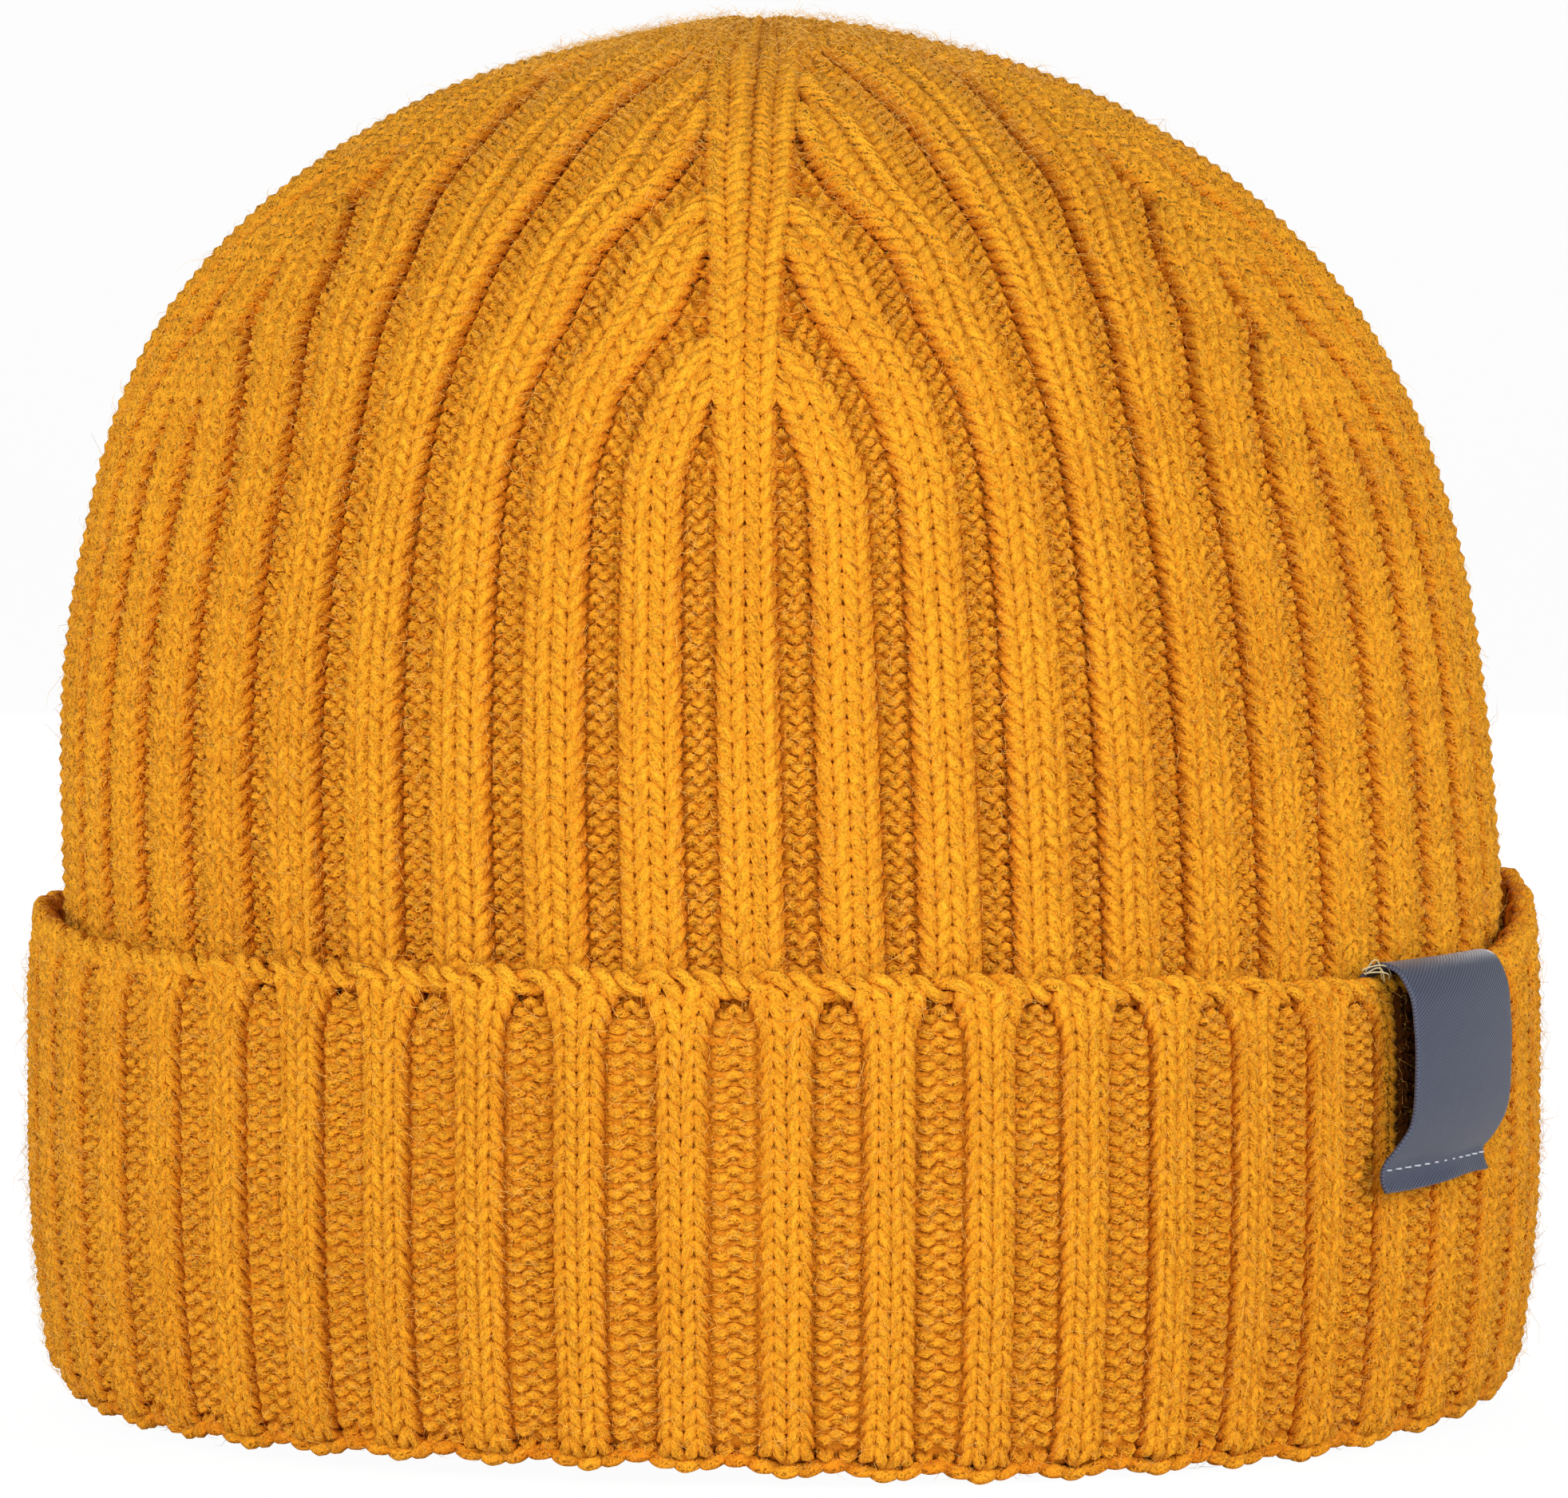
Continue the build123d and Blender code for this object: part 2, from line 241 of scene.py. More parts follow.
def wales_of(s):
    """The stitches of one course all round: middle of the sector, side, wale, span, in the dart, kind."""
    n = float(wale_count(s))
    whole = int(n - 1 + 1e-6)
    part = n - 1 - whole
    half = [(k, 1.0, False, KIND[k]) for k in range(whole)]
    if part > 0.4:
        half.append((whole, part, False, KIND[whole]))
    half.append((0, 1.0, True, 1))
    if s > PLAIN_FROM:
        parts = max(1, round((n - 1) * 1.9))
        half = [((n - 1) * k / parts, (n - 1) / parts, False, 1) for k in range(parts if n > 1.2 else 0)]
        half += [(0, 0.5, True, 1), (0.5, 0.5, True, 1)]
    rows = []
    for sector in range(SECTORS):
        middle = (2 * sector + 1) * HALF_SECTOR
        rows += [(middle, -1, *stitch) for stitch in half[::-1]]
        rows += [(middle, 1, *stitch) for stitch in half]
    return [np.array(column)[:, None] for column in zip(*rows)]


def course(s, samples):
    """The centre line of one course's yarn: points, normals, radii, height over the wale's middle, stitch."""
    middle, side, wale, span, dart, kinds = wales_of(s)
    dart = dart.astype(bool)
    count = len(kinds)
    kinds = kinds.astype(float)
    shown = -1 if s < S_WALL else 1
    tau = np.arange(samples) / samples * 2 * math.pi
    tau = np.broadcast_to(tau, (count, samples))
    jitter = RANDOM.normal(0, 1, (4, count, 1))

    def joined(values, reach, place):
        """Values of the stitches, eased to the mean with the neighbour at each stitch's ends."""
        start = (1 - np.clip(place / reach, 0, 1)) / 2
        end = (1 - np.clip((1 - place) / reach, 0, 1)) / 2
        return values + start * (np.roll(values, 1, 0) - values) + end * (np.roll(values, -1, 0) - values)

    legs_show = kinds * shown > 0
    lean = np.where(legs_show, LOOP_LEAN, BUMP_LEAN) * (1 + 0.06 * jitter[0])
    across = (tau + lean * np.sin(2 * tau)) / (2 * math.pi)
    height = np.where(legs_show, LOOP_HALF, BUMP_HALF) * (1 + 0.03 * jitter[1])
    height = joined(height, 0.25, tau / (2 * math.pi))
    cos = np.cos(tau)
    bump_cos = np.sign(cos) * np.abs(cos) ** 0.7 * (1 + 0.3 * np.sin(tau) ** 2)
    along = s - height * np.where(legs_show, cos, bump_cos) + 0.1 * jitter[2] * np.sin(tau) ** 2
    place = wale + span * np.where(side > 0, across, 1 - across)
    t = middle + side * half_angle(place, np.clip(along, 0, S_END), dart)
    along = along + 0.2 * np.sin(3 * t + 0.06 * s) + 0.12 * np.sin(11 * t + 0.21 * s)
    beat = -np.cos(2 * tau)
    beat = np.where(legs_show, beat, np.sign(beat) * np.abs(beat) ** 0.6)
    stand = beat * joined(kinds, 0.15, tau / (2 * math.pi))
    level = joined(kinds, 0.30, across)
    crossing = 1 - np.abs(level)
    own = np.where(legs_show, LOOP_DEPTH, BUMP_DEPTH) * stand * (1 + 0.06 * jitter[3])
    own = own - 0.4 * shown * crossing
    lift = RELIEF * np.interp(s, *RELIEF_AT) * level + own
    width = np.abs(t[:, samples * 3 // 4] - t[:, samples // 4])[:, None] * 2 * np.interp(s, PATH_S, PATH_A)
    legs = YARN * (0.86 + 0.24 * stand * shown) * np.clip(width / 3.1, 0.62, 1.2)
    bumps = YARN * (0.84 + 0.06 * stand * shown) * np.clip(width / 1.6, 0.62, 1)
    radius = np.where(legs_show, legs, bumps) * (1 - 0.18 * crossing)
    # how deep the yarn lies, for the shade painted between the loops
    hidden = shown * own - 0.12 * (1 - level * shown) - 0.8 * crossing
    point, normal = fabric(t.ravel(), along.ravel(), lift.ravel())
    return point, normal, radius.ravel(), hidden.ravel(), np.repeat(np.arange(count), samples)


def tube(point, normal, radius, sides):
    """Rings of a closed tube round a centre line."""
    ahead = np.roll(point, -1, 0) - np.roll(point, 1, 0)
    ahead /= np.linalg.norm(ahead, axis=1, keepdims=True)
    side = np.cross(ahead, normal)
    side /= np.linalg.norm(side, axis=1, keepdims=True)
    up = np.cross(side, ahead)
    angle = np.arange(sides) / sides * 2 * math.pi
    ring = up[:, None] * np.cos(angle)[:, None] + side[:, None] * np.sin(angle)[:, None]
    return point[:, None] + ring * radius[:, None, None]


def depth_of(rings, point, normal, height, shown):
    """How deep between the loops the yarn's surface lies, which sets the painted shade there: 0 on the crests
    and 1 at the bottom of the gaps.
    """
    out = height[:, None] + shown * ((rings - point[:, None]) * normal[:, None]).sum(-1)
    return np.clip((1.5 - out) / 2.6, 0, 1).ravel()


def label_shade(point):
    """How far the label keeps the light from the cuff behind it, from 0 to 1."""
    t = np.arctan2(point[..., 0], -point[..., 1] / DEPTH_RATIO)
    inside = (t - LABEL_MIDDLE) * LABEL_REACH + LABEL_WIDTH / 2
    z = point[..., 2]
    return (np.clip((inside - 2.6) / 0.8, 0, 1) * np.clip((LABEL_WIDTH - 2 - inside) / 2, 0, 1)
            * np.clip((z - 32) / 2, 0, 1) * np.clip((55 - z) / 2, 0, 1)).ravel()


def bake_cells(index, along, turn):
    """A baking map: one cell of a grid to each index, with along and turn, from 0 to 1, inside it."""
    index, along, turn = np.broadcast_arrays(index, along, turn)
    columns = math.ceil(math.sqrt(index.max() + 1))
    inset = 0.04
    return np.stack([(index % columns + inset + along * (1 - 2 * inset)) / columns,
                     (index // columns + inset + turn * (1 - 2 * inset)) / columns], -1).reshape(-1, 2)


def mesh_object(name, verts, quads, maps, material, body_nodes=()):
    """An object from arrays of points in millimetres, quads and named corner maps."""
    mesh = bpy.data.meshes.new(name)
    mesh.vertices.add(len(verts))
    mesh.vertices.foreach_set("co", ((verts + [0, 0, FLOOR_REST]) * MM).astype(np.float32).ravel())
    sides = quads.shape[1]
    mesh.loops.add(quads.size)
    mesh.loops.foreach_set("vertex_index", quads.astype(np.int32).ravel())
    mesh.polygons.add(len(quads))
    mesh.polygons.foreach_set("loop_start", np.arange(0, quads.size, sides, dtype=np.int32))
    for key, values in maps.items():
        layer = mesh.uv_layers.new(name=key)
        layer.data.foreach_set("uv", values.astype(np.float32).ravel())
    mesh.update(calc_edges=True)
    mesh.shade_smooth()
    mesh.materials.append(material)
    obj = bpy.data.objects.new(name, mesh)
    bpy.context.collection.objects.link(obj)
    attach(obj, "root")
    if body_nodes:
        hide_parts(*body_nodes)
    return obj


def knit(name, rows, samples, sides, material, nodes=()):
    """One piece of fabric, from the arc lengths of its courses."""
    verts, quads, ply, cells, sunk, shaded = [], [], [], [], [], []
    first, stitch = 0, 0
    side_now = np.arange(sides)
    side_next = (side_now + 1) % sides
    for s in rows:
        point, normal, radius, height, wale = course(s, samples)
        rings = tube(point, normal, radius, sides)
        sunk.append(depth_of(rings, point, normal, height, -1 if s < S_WALL else 1))
        # painted shadow of the label on the cuff's yarn
        shaded.append(label_shade(rings) * (s < S_FOLD))
        count = len(point)
        now = np.arange(count)
        ahead = (now + 1) % count
        step = np.linalg.norm(point[ahead] - point, axis=1)
        length = np.concatenate([[0], np.cumsum(step)])
        quad = np.stack([
            now[:, None] * sides + side_now, ahead[:, None] * sides + side_now,
            ahead[:, None] * sides + side_next, now[:, None] * sides + side_next], -1)
        quads.append(quad.reshape(-1, 4) + first)
        verts.append(rings.reshape(-1, 3))
        u = np.stack([length[:-1], length[1:], length[1:], length[:-1]], -1)[:, None]
        v = np.stack([side_now, side_now, side_now + 1, side_now + 1], -1)[None] / sides
        u, v = np.broadcast_arrays(u, v)
        ply.append(np.stack([u, v], -1).reshape(-1, 2))
        place = (now % samples)[:, None, None] + np.array([0, 1, 1, 0])
        place, turn = np.broadcast_arrays(place / samples, v)
        index = np.broadcast_to((stitch + wale)[:, None, None], place.shape)
        cells.append(np.stack([index, place, turn], -1).reshape(-1, 3))
        first += count * sides
        stitch += wale[-1] + 1
    bake = bake_cells(*np.concatenate(cells).T)
    quads = np.concatenate(quads)
    # painted shade between the loops and painted shadow under the label, carried in the depth map
    depth = np.stack([np.concatenate(sunk), np.concatenate(shaded)], -1)[quads.ravel()]
    maps = {"yarn": np.concatenate(ply), "depth": depth, "OFBake": bake}
    return mesh_object(name, np.concatenate(verts), quads, maps, material, nodes)


# ---------------------------------------------------------------- materials
def nodes_of(name):
    """A new material with its nodes and links."""
    material = bpy.data.materials.new(name)
    material.use_nodes = True
    return material, material.node_tree.nodes, material.node_tree.links


def wool(name, dark, light, bump=0.9):
    """Worsted wool yarn: twisted plies along the yarn's own map, with uneven dye and fine fibres.

    The depth map paints shade on it between the loops, and a painted shadow behind the label.
    """
    material, nodes, links = nodes_of(name)
    shader = nodes["Principled BSDF"]
    shader.inputs["Roughness"].default_value = 0.88
    shader.inputs["Specular IOR Level"].default_value = 0.05
    shader.inputs["Sheen Weight"].default_value = 0.10
    shader.inputs["Sheen Roughness"].default_value = 0.5
    shader.inputs["Sheen Tint"].default_value = (1.0, 0.55, 0.15, 1)

    def math_node(kind, *values):
        """A Math node's output, from numbers and sockets."""
        node = nodes.new("ShaderNodeMath")
        node.operation = kind
        for k, value in enumerate(values):
            if isinstance(value, (int, float)):
                node.inputs[k].default_value = value
            else:
                links.new(value, node.inputs[k])
        return node.outputs[0]

    yarn = nodes.new("ShaderNodeUVMap")
    yarn.uv_map = "yarn"
    split = nodes.new("ShaderNodeSeparateXYZ")
    links.new(yarn.outputs[0], split.inputs[0])
    place = nodes.new("ShaderNodeTexCoord").outputs["Object"]

    def noise(scale, detail, vector=place):
        """A Noise node's output."""
        node = nodes.new("ShaderNodeTexNoise")
        node.inputs["Scale"].default_value = scale
        node.inputs["Detail"].default_value = detail
        links.new(vector, node.inputs["Vector"])
        return node.outputs["Fac"]

    wobble = math_node("MULTIPLY", noise(700, 2), 0.5)
    turns = math_node("ADD", math_node("MULTIPLY", split.outputs[0], 0.2), wobble)
    twist = math_node("ADD", turns, math_node("MULTIPLY", split.outputs[1], 3.0))
    wave = math_node("ABSOLUTE", math_node("SINE", math_node("MULTIPLY", twist, math.pi)))
    plies = math_node("POWER", wave, 0.6)
    frayed = math_node("ADD", twist, noise(1500, 1))
    threads = math_node("SINE", math_node("MULTIPLY", frayed, 4 * 2 * math.pi))

    drawn_out = nodes.new("ShaderNodeCombineXYZ")
    links.new(math_node("MULTIPLY", turns, 1.6), drawn_out.inputs[0])
    links.new(math_node("MULTIPLY", twist, 2.2), drawn_out.inputs[1])
    fibre = noise(1.6, 3, drawn_out.outputs[0])
    grain = noise(2600, 2)
    height = math_node("ADD", math_node("MULTIPLY", plies, 0.5), math_node("MULTIPLY", fibre, 0.75))
    height = math_node("ADD", height, math_node("MULTIPLY", threads, 0.16))
    height = math_node("ADD", height, math_node("MULTIPLY", grain, 0.12))

    rise = nodes.new("ShaderNodeBump")
    rise.inputs["Strength"].default_value = bump
    rise.inputs["Distance"].default_value = 0.0004
    links.new(height, rise.inputs["Height"])
    links.new(rise.outputs[0], shader.inputs["Normal"])

    # the plies term darkens the grooves between the plies as painted shade; the other terms are uneven dye,
    # fibres and threads
    tone = math_node("ADD", math_node("MULTIPLY", plies, 0.25), math_node("MULTIPLY", noise(60, 3), 0.35))
    tone = math_node("ADD", tone, math_node("MULTIPLY", fibre, 0.75))
    tone = math_node("ADD", tone, math_node("MULTIPLY", threads, 0.07))
    ramp = nodes.new("ShaderNodeValToRGB")
    ramp.color_ramp.elements[0].position = 0.25
    ramp.color_ramp.elements[0].color = (*dark, 1)
    ramp.color_ramp.elements[1].position = 0.95
    ramp.color_ramp.elements[1].color = (*light, 1)
    links.new(tone, ramp.inputs[0])
    depth = nodes.new("ShaderNodeUVMap")
    depth.uv_map = "depth"
    deep = nodes.new("ShaderNodeSeparateXYZ")
    links.new(depth.outputs[0], deep.inputs[0])
    colour = ramp.outputs[0]
    # painted shade and shadow: the depth map darkens the yarn deep between the loops, and paints the label's
    # shadow on the cuff
    painted_shade_between_loops, painted_shadow_behind_label = (0.78, 0.47, 0.24), (0.10, 0.05, 0.04)
    for k, tint in enumerate((painted_shade_between_loops, painted_shadow_behind_label)):
        shade = nodes.new("ShaderNodeMix")
        shade.data_type = "RGBA"
        shade.blend_type = "MULTIPLY"
        shade.inputs[7].default_value = (*tint, 1)
        links.new(deep.outputs[k], shade.inputs[0])
        links.new(colour, shade.inputs[6])
        colour = shade.outputs[2]
    links.new(colour, shader.inputs["Base Color"])
    return material


WOOL = wool("mustard_wool", (0.64, 0.20, 0.009), (0.94, 0.43, 0.024))

# ---------------------------------------------------------------- the yarn, course by course
FIRST_ROW = 0.9
ROWS = [FIRST_ROW + COURSE * k for k in range(int((S_END - FIRST_ROW) / COURSE) + 1)]
TURN_ROW = min(range(len(ROWS)), key=lambda k: abs(ROWS[k] - S_FOLD + 0.6))
RIDGE_S = ROWS.pop(TURN_ROW)         # the course on which the fabric turns is drawn by itself


def stretch(name, low, high, each, nodes=(), samples=12, sides=6):
    """Pieces of fabric between two arc lengths, so many courses to a piece; only the first has nodes."""
    rows = [s for s in ROWS if low <= s < high]
    pieces = max(1, math.ceil(len(rows) / each))
    size = math.ceil(len(rows) / pieces)
    for k in range(pieces):
        part = rows[k * size:(k + 1) * size]
        if part:
            knit(f"{name}_{k + 1}", part, samples, sides, WOOL, nodes if k == 0 else ())


BEHIND_CUFF = S_CUFF_TOP - 5         # up to here the body is seen only from inside
BODY_TOP = s_at_height(111)
stretch("cuff_courses", 0, S_FOLD - 3, 6, ("cuff",))
stretch("turning_courses", S_FOLD - 3, S_WALL, 7, ("fold_ridge",))
stretch("inner_courses", S_WALL, BEHIND_CUFF, 13, samples=8, sides=4)
stretch("body_courses", BEHIND_CUFF, BODY_TOP, 7, ("knit_wall",))
stretch("crown_courses", BODY_TOP, S_END + 1, 14, ("knit_crown",))

# ---------------------------------------------------------------- the ground behind the loops
GROUND_PLACES = np.concatenate([[k + 0.12, k + 0.5, k + 0.88] for k in range(WALES)])


def ground_lifts(shown):
    """The ground's place in the fabric's depth: with the wale it backs, and sunk where knit meets purl."""
    beside = [(k, max(0, min(WALES - 1, k + side))) for k in range(WALES) for side in (-1, 0, 1)]
    return np.array([KIND[k] * GROUND_WITH if KIND[k] == KIND[j] else -shown * GROUND_SINK
                     for k, j in beside])


def ground(name, low, high, material):
    """A thin layer in the middle of the fabric, which closes the gaps between loops; it stands for the yarn
    behind them, and its darker wool colour is painted shade.
    """
    rows = np.arange(low, high, COURSE * 1.5)
    verts = []
    for s in rows:
        t, soft = [], []
        n = float(wale_count(s))
        shown = -1 if s < S_FOLD else 1
        place = np.linspace(0, n - 1, GROUND_STEPS)
        inner = np.concatenate([half_angle(place, s, False), half_angle(np.array([0.25, 0.6]), s, True)])
        kind = np.interp(place, GROUND_PLACES, ground_lifts(shown))
        kind = np.concatenate([kind[:-1], [-1.1 * shown, GROUND_WITH, GROUND_WITH]])
        for sector in range(SECTORS):
            middle = (2 * sector + 1) * HALF_SECTOR
            t += [middle - inner[::-1], middle + inner[1:], [middle + HALF_SECTOR]]
            soft += [kind[::-1], kind[1:], [GROUND_WITH]]
        t, soft = np.concatenate(t), np.concatenate(soft)
        raised = 0.32 * shown * np.clip(-soft * shown, 0, 1)
        relief = RELIEF * np.interp(s, *RELIEF_AT)
        for thick in (-GROUND_HALF, GROUND_HALF):
            verts.append(fabric(t, np.full(len(t), s), relief * soft + raised + thick)[0])
    wide, count = len(t), len(rows)
    across = np.arange(wide)
    ahead = (across + 1) % wide
    quads = []
    for k in range(count - 1):
        inner, outer = 2 * k * wide, (2 * k + 1) * wide
        below, above = inner + 2 * wide, outer + 2 * wide
        quads.append(np.stack([inner + across, below + across, below + ahead, inner + ahead], -1))
        quads.append(np.stack([outer + across, outer + ahead, above + ahead, above + across], -1))
    for k, flip in ((0, False), (count - 1, True)):
        inner, outer = 2 * k * wide, (2 * k + 1) * wide
        rim = [inner + across, inner + ahead, outer + ahead, outer + across]
        quads.append(np.stack(rim[::-1] if flip else rim, -1))
    quads = np.concatenate(quads)
    column = quads % wide
    column = column + wide * ((column == 0) & (column.max(1, keepdims=True) > wide - 2))
    sheet = np.concatenate([np.tile(np.repeat([0, 1], wide), count - 1), np.repeat([2, 3], wide)])[:, None]
    down = np.where(sheet < 2, quads // wide // 2 / (count - 1), quads // wide % 2)
    maps = {"yarn": np.stack([column * 0.6, quads // wide * 0.3], -1).reshape(-1, 2),
            "OFBake": bake_cells(sheet, column / wide, down)}
    return mesh_object(name, np.concatenate(verts), quads, maps, material)


# a darker wool than the loops': painted shade in the gaps between them
GAP_SHADE_WOOL = wool("gap_ground_painted_shade", (0.52, 0.16, 0.008), (0.74, 0.28, 0.016), 0.3)
ground("cuff_ground", 3.0, S_FOLD + 3, GAP_SHADE_WOOL)
ground("body_ground", S_FOLD + 3, S_END - 1, GAP_SHADE_WOOL)


# ---------------------------------------------------------------- loose strands, label and fuzz
def strands(name, lines, radius, sides, material, nodes=(), taper=0.0):
    """Tubes with closed ends, or open ones if they have 3 sides, along lines that all have as many points."""
    lines = np.asarray(lines, float)
    number, count = lines.shape[:2]
    ahead = np.gradient(lines, axis=1)
    ahead /= np.linalg.norm(ahead, axis=2, keepdims=True) + 1e-9
    aside = np.cross(ahead, np.array([0.31, 0.17, 0.93]))
    aside /= np.linalg.norm(aside, axis=2, keepdims=True) + 1e-9
    up = np.cross(aside, ahead)
    angle = np.arange(sides) / sides * 2 * math.pi
    along = np.linspace(0, 1, count)
    size = np.full((number, count), float(radius)) * (1 - taper * along)
    ring = aside[:, :, None] * np.cos(angle)[:, None] + up[:, :, None] * np.sin(angle)[:, None]
    verts = lines[:, :, None] + ring * size[:, :, None, None]
    block = count * sides
    k = np.arange(count - 1)[:, None] * sides
    side_now = np.arange(sides)
    side_next = (side_now + 1) % sides
    quad = np.stack([k + side_now, k + side_next, k + sides + side_next, k + sides + side_now], -1)
    quads = (quad.reshape(1, -1, 4) + np.arange(number)[:, None, None] * block).reshape(-1, 4)
    step = np.linalg.norm(np.diff(lines, axis=1), axis=2)
    length = np.concatenate([np.zeros((number, 1)), np.cumsum(step, 1)], 1)
    u0, u1 = length[:, :-1], length[:, 1:]
    u = np.stack([u0, u0, u1, u1], -1)[:, :, None]
    v = np.stack([side_now, side_now + 1, side_now + 1, side_now], -1)[None, None] / sides
    u, v = np.broadcast_arrays(u, v)
    ply = np.stack([u, v], -1).reshape(-1, 2)
    at = (np.arange(count - 1)[:, None, None] + np.array([0, 0, 1, 1])) / (count - 1)
    bake = bake_cells(np.arange(number + 1)[:, None, None, None], at[None], v[:1, :1])
    bake = bake[:len(ply)]
    if sides > 3:
        fan = np.array([(0, k, k + 1, k + 2) for k in range(1, sides - 1, 2)])
        caps = np.concatenate([fan[:, ::-1], fan + block - sides])
        caps = (caps[None] + np.arange(number)[:, None, None] * block).reshape(-1, 4)
        quads = np.concatenate([quads, caps])
        ply = np.concatenate([ply, np.zeros((caps.size, 2))])
        turn = caps.ravel() % sides / sides * 2 * math.pi
        disc = bake_cells(np.array([number] * caps.size), 0.5 + 0.5 * np.cos(turn), 0.5 + 0.5 * np.sin(turn))
        bake = np.concatenate([bake, disc])
    maps = {"yarn": ply, "OFBake": bake}
    return mesh_object(name, verts.reshape(-1, 3), quads, maps, material, nodes)


BEAD_STEPS = 10            # points to a wale of the strands on the edge and on the fold
EDGE_SIDES = 8
EDGE_STEP = 0.32           # millimetres from point to point in the yarn's map


def edge_yarn(name, s, shape, radius, nodes=()):
    """Two strands along the fabric at arc length s; shape gives lift, offset and girth at an angle."""
    count = WALES * SECTORS * 2 * BEAD_STEPS
    t = np.arange(count) / count * 2 * math.pi
    verts, quads, ply, sunk = [], [], [], []
    for strand in range(2):
        out, along, girth = shape(t, strand)
        point, normal = fabric(t, s + along, out)
        girth = girth * radius * (1 + 0.05 * np.sin(23 * t) + 0.04 * np.sin(61 * t + 1))
        verts.append(tube(point, normal, girth, EDGE_SIDES).reshape(-1, 3))
        now = np.arange(count)[:, None] * EDGE_SIDES
        ahead = (now + EDGE_SIDES) % (count * EDGE_SIDES)
        side = np.arange(EDGE_SIDES)
        nxt = (side + 1) % EDGE_SIDES
        quad = np.stack([now + side, ahead + side, ahead + nxt, now + nxt], -1)
        quads.append(quad.reshape(-1, 4) + strand * count * EDGE_SIDES)
        u = (np.arange(count) * EDGE_STEP)[:, None]
        u = np.stack([u, u + EDGE_STEP, u + EDGE_STEP, u], -1)
        v = np.stack([side, side, side + 1, side + 1], -1)[None] / EDGE_SIDES
        u, v = np.broadcast_arrays(u, v)
        ply.append(np.stack([u, v], -1).reshape(-1, 2))
        # painted shade: the deeper a strand lies, the darker the depth map paints it
        sunk.append(np.clip(0.5 + (out - out.mean()) / np.ptp(out), 0, 1).repeat(EDGE_SIDES))
    quads = np.concatenate(quads)
    sunk = 0.8 * np.concatenate(sunk)[quads.ravel()]
    ring = np.arange(2 * count).repeat(EDGE_SIDES).reshape(2 * count, EDGE_SIDES, 1)
    along = (ring % BEAD_STEPS + np.array([0, 1, 1, 0])) / BEAD_STEPS
    bake = bake_cells(ring // BEAD_STEPS, along, v[:1].repeat(2 * count, 0))
    maps = {"yarn": np.concatenate(ply), "depth": np.stack([sunk, 0 * sunk], -1), "OFBake": bake}
    return mesh_object(name, np.concatenate(verts), quads, maps, WOOL, nodes)


def cast_on(t, strand):
    """The cast-on edge: two strands laid round each other, one slanted bead to a stitch."""
    wind = WALES * SECTORS * t + strand * math.pi
    wind = wind + 0.7 * np.sin(7 * t) + 0.6 * np.sin(31 * t) + 0.4 * np.sin(83 * t)
    along = -0.8 * np.sin(wind) + 0.30 * np.cos(RIBS * t) + 0.25 * np.sin(5 * t)
    return -0.65 + 0.75 * np.cos(wind), along, 1


def turning_row(t, strand):
    """The course on which the fabric turns: one fat bead to a wale, and a strand behind to close the gaps."""
    beat = WALES * SECTORS * t + 0.25 * np.sin(9 * t)
    if strand:
        return 0.1 + 0.2 * np.cos(beat), 0.3 * np.sin(13 * t), 1
    swell = np.abs(np.cos(beat)) ** 0.5
    along = -0.6 - 0.30 * np.cos(RIBS * t) + 0.15 * np.sin(17 * t) - 0.12 * np.sin(2 * beat)
    return -0.95 + 0.35 * np.cos(RIBS * t) - 0.45 * swell, along, 0.68 + 0.36 * swell


edge_yarn("cast_on_rope", -0.3, cast_on, 0.78, ("cast_on_edge",))
edge_yarn("turning_ridge", RIDGE_S, turning_row, 0.84)


def closing_yarn():
    """The yarn drawn round the last stitches inside the crown, and its woven-in tail."""
    top, radius, points = 150.6, 5, 40
    ring = np.linspace(0, 2 * math.pi, points)
    loop = np.stack([radius * np.sin(ring) - LEAN, -radius * np.cos(ring), np.full(points, top)], -1)
    along = np.linspace(0, 1, points)
    tail = np.stack([3.2 + 9 * along - LEAN, 3.5 + 24 * along,
                     top - 0.6 - 7.5 * along ** 2 + 0.6 * np.sin(14 * along)], -1)
    strands("crown_closing_strands", [loop, tail], 0.9, 8, WOOL, ("crown_closing_yarn",))


closing_yarn()


def crown_gather():
    """The last stitches, drawn together at the top until the hole between them is shut."""
    stitches, points = 12, 12
    t = (np.arange(stitches) + 0.5) / stitches * 2 * math.pi
    ring = fabric(t, np.full(stitches, S_END), np.zeros(stitches))[0]
    middle = ring.mean(0)
    share = np.linspace(1.3, 0.08, points)                              # of the ring's radius
    lines = middle + (ring - middle)[:, None] * share[None, :, None]
    lines[:, :, 2] = middle[2] + np.interp(share, (0, 0.3, 0.8, 1.3), (-1.5, -0.45, 0.15, -0.55))
    strands("crown_gather", lines, 0.95, 8, WOOL, (), 0.35)


crown_gather()

# ---------------------------------------------------------------- the woven label
# stand from the cuff's outer face, and height, from the tuck behind the cuff over its edge to the free end
LABEL_PROFILE = (
    (-3.9, 41.0), (-4.0, 49.0), (-3.3, 52.6), (-1.3, 54.1), (1.0, 53.7), (2.6, 51.5), (3.4, 47.0),
    (3.5, 42.0), (3.1, 37.0), (2.0, 33.4), (1.05, 31.6), (1.1, 30.5), (1.7, 29.1))


def smooth_line(points, count):
    """A smooth line through a few points, and the length along it at each of its own."""
    points = np.array(points, float)
    at = np.concatenate([[0], np.cumsum(np.linalg.norm(np.diff(points, axis=0), axis=1))])
    fine = np.linspace(0, at[-1], count)
    slope = np.gradient(points, at, axis=0)
    k = np.clip(np.searchsorted(at, fine, side="right") - 1, 0, len(at) - 2)
    h = (at[k + 1] - at[k])[:, None]
    x = (fine - at[k])[:, None] / h
    near = (2 * x ** 3 - 3 * x ** 2 + 1) * points[k] + (x ** 3 - 2 * x ** 2 + x) * h * slope[k]
    return near + (3 * x ** 2 - 2 * x ** 3) * points[k + 1] + (x ** 3 - x ** 2) * h * slope[k + 1], fine


